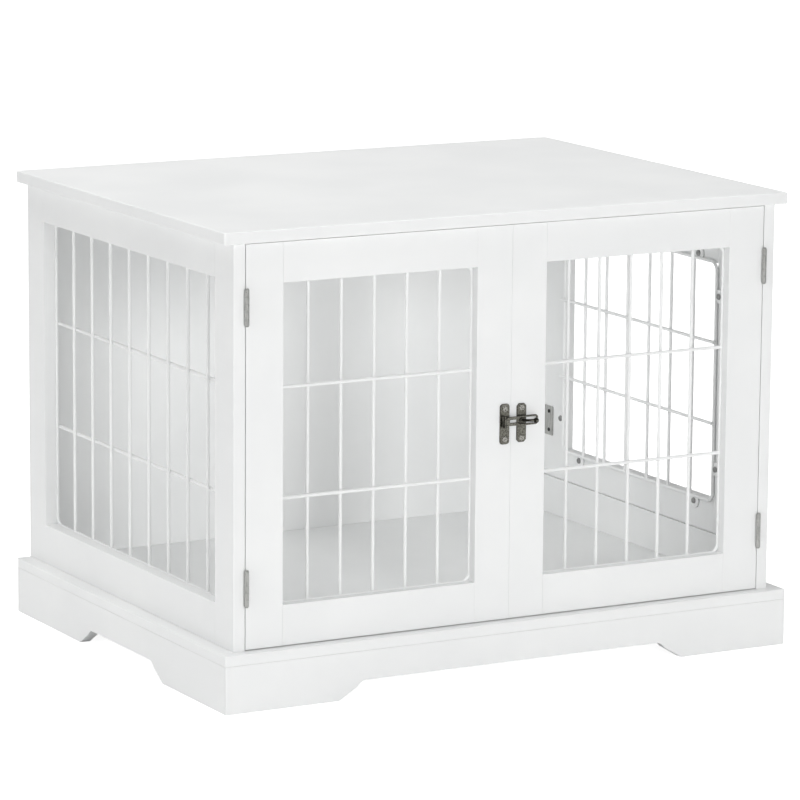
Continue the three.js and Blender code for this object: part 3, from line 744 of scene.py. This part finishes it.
def flat_strap(outline, slot, low, high, edge):
    """A strap with a slot, both drawn in XZ in millimetres, between two stand-offs, its edges rounded."""
    curve = bpy.data.curves.new("strap", "CURVE")
    curve.dimensions = "2D"
    curve.fill_mode = "BOTH"
    curve.extrude = (high - low) / 2 - edge
    curve.bevel_depth = edge
    curve.bevel_resolution = 2
    curve.offset = -edge
    for points in (outline, slot):
        spline = curve.splines.new("POLY")
        spline.points.add(len(points) - 1)
        spline.use_cyclic_u = True
        for point, (x, z) in zip(spline.points, points):
            point.co = (x * MM, z * MM, 0, 1)
    strap = bpy.data.objects.new("strap", curve)
    bpy.context.scene.collection.objects.link(strap)
    select_only(strap)
    bpy.ops.object.convert(target="MESH")
    strap = bpy.context.object
    upright = Matrix.Rotation(math.pi / 2, 4, "X")
    strap.data.transform(Matrix.Translation((0, -(low + high) / 2, 0)) @ upright)
    close_mesh(strap)
    return strap


def arc(centre, radius, start, end, steps=6):
    """Points of an arc, in millimetres and degrees."""
    turns = [math.radians(start + (end - start) * i / steps) for i in range(steps + 1)]
    return [(centre[0] + radius * math.cos(t), centre[1] + radius * math.sin(t)) for t in turns]


def swing_bar():
    """The loop of strap that swings over the ball: a narrow slot that opens to a wide one, and a barrel."""
    upper = [(-11.5, 4), (-8.3, 4), (-6.8, 5.7), (5.5, 5.7), (11, 6.2), *arc((32.5, 2.7), 3.5, 90, 0)]
    slot_end = arc((32.7, 2.9), 1.2, 90, 0, 4)
    upper_slot = [(-4.5, 0), (-4.2, 1.3), (-3.4, 1.9), (5.5, 1.9), (11, 4.1), *slot_end]
    outline = upper + [(x, -z) for x, z in reversed(upper)]
    slot = upper_slot + [(x, -z) for x, z in reversed(upper_slot[1:])]
    strap = flat_strap(outline, slot, 3.6 * MM, 5.8 * MM, 0.4 * MM)
    strap.data.transform(Matrix.Translation((0, 0, PIVOT.z)))
    return joined(strap, upright_barrel(-BAR_BARREL_HALF, BAR_BARREL_HALF))


def bar_plate():
    """The rounded plate that holds the bar: two barrels on webs, with the pin through them."""
    half_web, web_foot, inset = 2.1 * MM, -0.8 * MM, 0.1 * MM
    parts = [latch_plate(BAR_PLATE_X, 25.5 * MM, 6, 4 * MM)]
    for sign in (-1, 1):
        near, far = sign * PLATE_BARREL_NEAR, sign * PLATE_BARREL_FAR
        web = block((PIVOT.x - half_web, PIVOT.y, PIVOT.z + min(near, far) + inset),
                    (PIVOT.x + half_web, web_foot, PIVOT.z + max(near, far) - inset))
        parts += [upright_barrel(near, far), ease_edges(web, 0.2 * MM, 2, along("y"))]
    pin_half = Vector((0, 0, 7 * MM))
    parts.append(rod(PIVOT - pin_half, PIVOT + pin_half, SWING_PIN, 24))
    return joined(*parts)


def ball_post():
    """The clipped plate with a boss, from which a bent post carries the ball."""
    root = Vector((POST_PLATE_X, -1 * MM, BALL.z))
    boss_top = Vector((POST_PLATE_X, -3.4 * MM, BALL.z))
    elbow = Vector((POST_PLATE_X, -5.4 * MM, BALL.z))
    plate = latch_plate(POST_PLATE_X, 24.5 * MM, 1, 3.2 * MM)
    boss = ease_edges(rod(root, boss_top, 3 * MM, 32), 0.6 * MM, 3, at_level("y", boss_top.y))
    post = [rod(root, elbow, POST, 24), ball(elbow, POST, 12), rod(elbow, BALL, POST, 24)]
    return joined(plate, boss, *post, ball(BALL, 3.4 * MM, 20))


def plate_screws(screw, x, place):
    """The two screws of a latch's plate. Each is driven to a turn of its own, which goes with its place."""
    sunk_face = 0.05 * MM - PLATE_THICK
    heads = []
    for z, turned in ((-PLATE_SCREW_RISE, 30 * x - 1.33), (PLATE_SCREW_RISE, 30 * x + 1.33)):
        driven = Matrix.Translation((x, sunk_face, z)) @ Matrix.Rotation(turned, 4, "Y")
        heads.append(placed_copy(screw, place @ driven))
    return joined(*heads)


def make_latches(looks):
    """The front doors' latch, and its twin between the right side's front stile and the side door."""
    masters = {"bar_plate": bar_plate(), "swing_bar": swing_bar(), "ball_post": ball_post()}
    screw = pan_screw(3.6 * MM, 1.5 * MM)
    for latch, turn, bodies in (
        ("front_latch", Matrix.Identity(4), ("left_door", "front_latch_bar", "right_door")),
        ("side_latch", Matrix.Rotation(math.pi / 2, 4, "Z"), ("carcass", "side_latch_bar", "side_door")),
    ):
        pivot = next(joint for joint in frame["joints"] if joint["name"] == latch + "_swing")["pos_m"]
        place = Matrix.Translation(Vector(pivot)) @ turn @ Matrix.Translation(-PIVOT)
        for (part, master), body in zip(masters.items(), bodies):
            finished(placed_copy(master, place), f"{latch}_{part}_metal", looks["latch"], body,
                     "latch_metal", f"{latch}_{part}")
        for part, x, body in (
            ("bar_plate", BAR_PLATE_X, bodies[0]),
            ("ball_post", POST_PLATE_X, bodies[2]),
        ):
            finished(plate_screws(screw, x, place), f"{latch}_{part}_screws", looks["latch_screw"], body,
                     "latch_metal")
    dispose(screw, *masters.values())


# ---- studio ---------------------------------------------------------------------------------------------

WORLD_LIGHT = 0.33  # what the white surroundings give the boards
BRIGHT_SIDE = (-0.75, -0.3, 0.6)  # where the surroundings that metal mirrors are white, and not shaded
SHADED = 0.12  # how bright they are on the other side
FLOOR_GLOW = 0.8  # lifts the far floor to white for the camera alone
FLOOR_SINK = 0.2 * MM

# Each lamp's place and aim in metres, its width and height, and its power in watts.
LAMPS = {
    "key": ((-0.45, -5.0, 1.45), (0, 0, 0.3), (1.1, 1.1), 86.0),
    "rim": ((4.2, 2.9, 1.5), (0, 0, 0.3), (2.0, 2.0), 36.0),
    "left": ((-5.0, -0.9, 1.3), (0, 0, 0.3), (2.0, 2.0), 55.0),
    "top": ((-0.4, 0.2, 4.0), (0, 0, 0.5), (2.5, 2.5), 92.0),
    "cabin fill": ((-0.12, -0.262, 0.31), (-0.12, 0.3, 0.31), (0.44, 0.40), 0.24),
    "cabin glow": ((0.0, -0.10, 0.42), (0.36, 0.16, 0.06), (0.24, 0.24), 0.22),
    "plinth fill": ((0, 0, 0.004), (0, 0.001, 1), (0.6, 0.4), 0.25),
}


def lay_floor():
    """A wide white floor, which shows the camera white and still keeps the crate's shadow."""
    select_only()
    bpy.ops.mesh.primitive_plane_add(size=30, location=(0, 0, -FLOOR_SINK))
    floor = bpy.context.object
    floor.name = "studio_floor"
    look = Look("studio floor", Roughness=1.0)
    look.surface.inputs["Specular IOR Level"].default_value = 0.0
    look.surface.inputs["Base Color"].default_value = (0.97, 0.97, 0.97, 1)
    seen = look.node("ShaderNodeLightPath", output="Is Camera Ray")
    look.surface.inputs["Emission Color"].default_value = (1, 1, 1, 1)
    look.give(look.surface.inputs["Emission Strength"], seen * FLOOR_GLOW)
    floor.data.materials.append(look.material)


def surround():
    """White all round for the camera, softer for the boards, and shaded from the right for the metal."""
    world = bpy.data.worlds.new("studio")
    bpy.context.scene.world = world
    world.use_nodes = True
    tree = world.node_tree
    background = tree.nodes["Background"]
    background.inputs["Color"].default_value = (1, 1, 1, 1)
    path = tree.nodes.new("ShaderNodeLightPath")

    def mixed(amount, off, on):
        """A number between two, each of them a number or a link."""
        made = tree.nodes.new("ShaderNodeMix")
        for socket, value in zip(made.inputs[:1] + made.inputs[2:4], (amount, off, on)):
            if isinstance(value, float):
                socket.default_value = value
            else:
                tree.links.new(value, socket)
        return made.outputs[0]

    direction = tree.nodes.new("ShaderNodeTexCoord")
    toward_light = tree.nodes.new("ShaderNodeVectorMath")
    toward_light.operation = "DOT_PRODUCT"
    toward_light.inputs[1].default_value = BRIGHT_SIDE
    tree.links.new(direction.outputs["Generated"], toward_light.inputs[0])
    shaded = tree.nodes.new("ShaderNodeMapRange")
    shaded.interpolation_type = "SMOOTHSTEP"
    shaded.inputs["From Min"].default_value = -0.55
    shaded.inputs["From Max"].default_value = 0.65
    shaded.inputs["To Min"].default_value = SHADED
    tree.links.new(toward_light.outputs["Value"], shaded.inputs["Value"])

    on_metal = mixed(path.outputs["Is Glossy Ray"], WORLD_LIGHT, shaded.outputs["Result"])
    seen = mixed(path.outputs["Is Camera Ray"], on_metal, 1.0)
    tree.links.new(mixed(path.outputs["Is Transmission Ray"], seen, 1.0), background.inputs["Strength"])


def hang_lamps():
    """Soft lamps that neither the camera nor a mirror sees, three of them in the cabin and the plinth."""
    for name, (place, aim, size, power) in LAMPS.items():
        lamp = bpy.data.objects.new(name, bpy.data.lights.new(name, "AREA"))
        bpy.context.scene.collection.objects.link(lamp)
        lamp.data.shape = "RECTANGLE"
        lamp.data.size, lamp.data.size_y = size
        lamp.data.energy = power
        lamp.visible_camera = False
        lamp.visible_glossy = False
        lamp.location = place
        lamp.rotation_euler = (Vector(aim) - Vector(place)).to_track_quat("-Z", "Y").to_euler()


# ---- the whole crate ------------------------------------------------------------------------------------

def make_crate():
    """Every piece of the crate: the casework, the doors, the grilles, the hinges and the latches."""
    paints = {axis: board_paint("white board paint, grain along " + axis, axis) for axis in "xyz"}
    looks = {
        "wire": wire_coat(),
        "hinge": hinge_nickel(),
        "latch": latch_plating(),
        "latch_screw": latch_screw_plating(),
        "screw": screw_steel("zinc screws", 0.24, 0.46),
        "dark_screw": screw_steel("dark screws", 0.03, 0.10),
    }

    make_table_top(paints)
    make_plinth_board(paints)
    for side, grain in (("front", "x"), ("rear", "x"), ("left", "y"), ("right", "y")):
        make_sawn_board(side + "_skirt", grain, paints)
    for end in ("front", "rear"):
        for side in ("left", "right"):
            make_sawn_board(f"plinth_corner_block_{end}_{side}", "z", paints)
    for side in ("left", "right"):
        make_board(f"{side}_front_stile", "carcass", "z", paints)
        make_board(f"{side}_rear_stile", "carcass", "z", paints)
        make_board(f"{side}_top_rail", "carcass", "y", paints)
        make_board(f"{side}_bottom_rail", "carcass", "y", paints)
    make_board("rear_panel", "carcass", "z", paints)
    for door, grain in (("left_door", "x"), ("right_door", "x"), ("side_door", "y")):
        stiles = [f"{door}_hinge_stile", f"{door}_latch_stile"]
        rails = [f"{door}_top_rail", f"{door}_bottom_rail"]
        corners = [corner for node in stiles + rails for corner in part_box(node)]
        around = [[pick(corner[i] for corner in corners) for i in range(3)] for pick in (min, max)]
        for node in stiles:
            make_board(node, door, "z", paints, around)
        for node in rails:
            make_board(node, door, grain, paints, around)
    make_all_grilles(looks)
    make_hinges(looks)
    make_latches(looks)


bpy.context.scene.view_settings.view_transform = "Standard"
place_camera()
make_crate()
lay_floor()
surround()
hang_lamps()
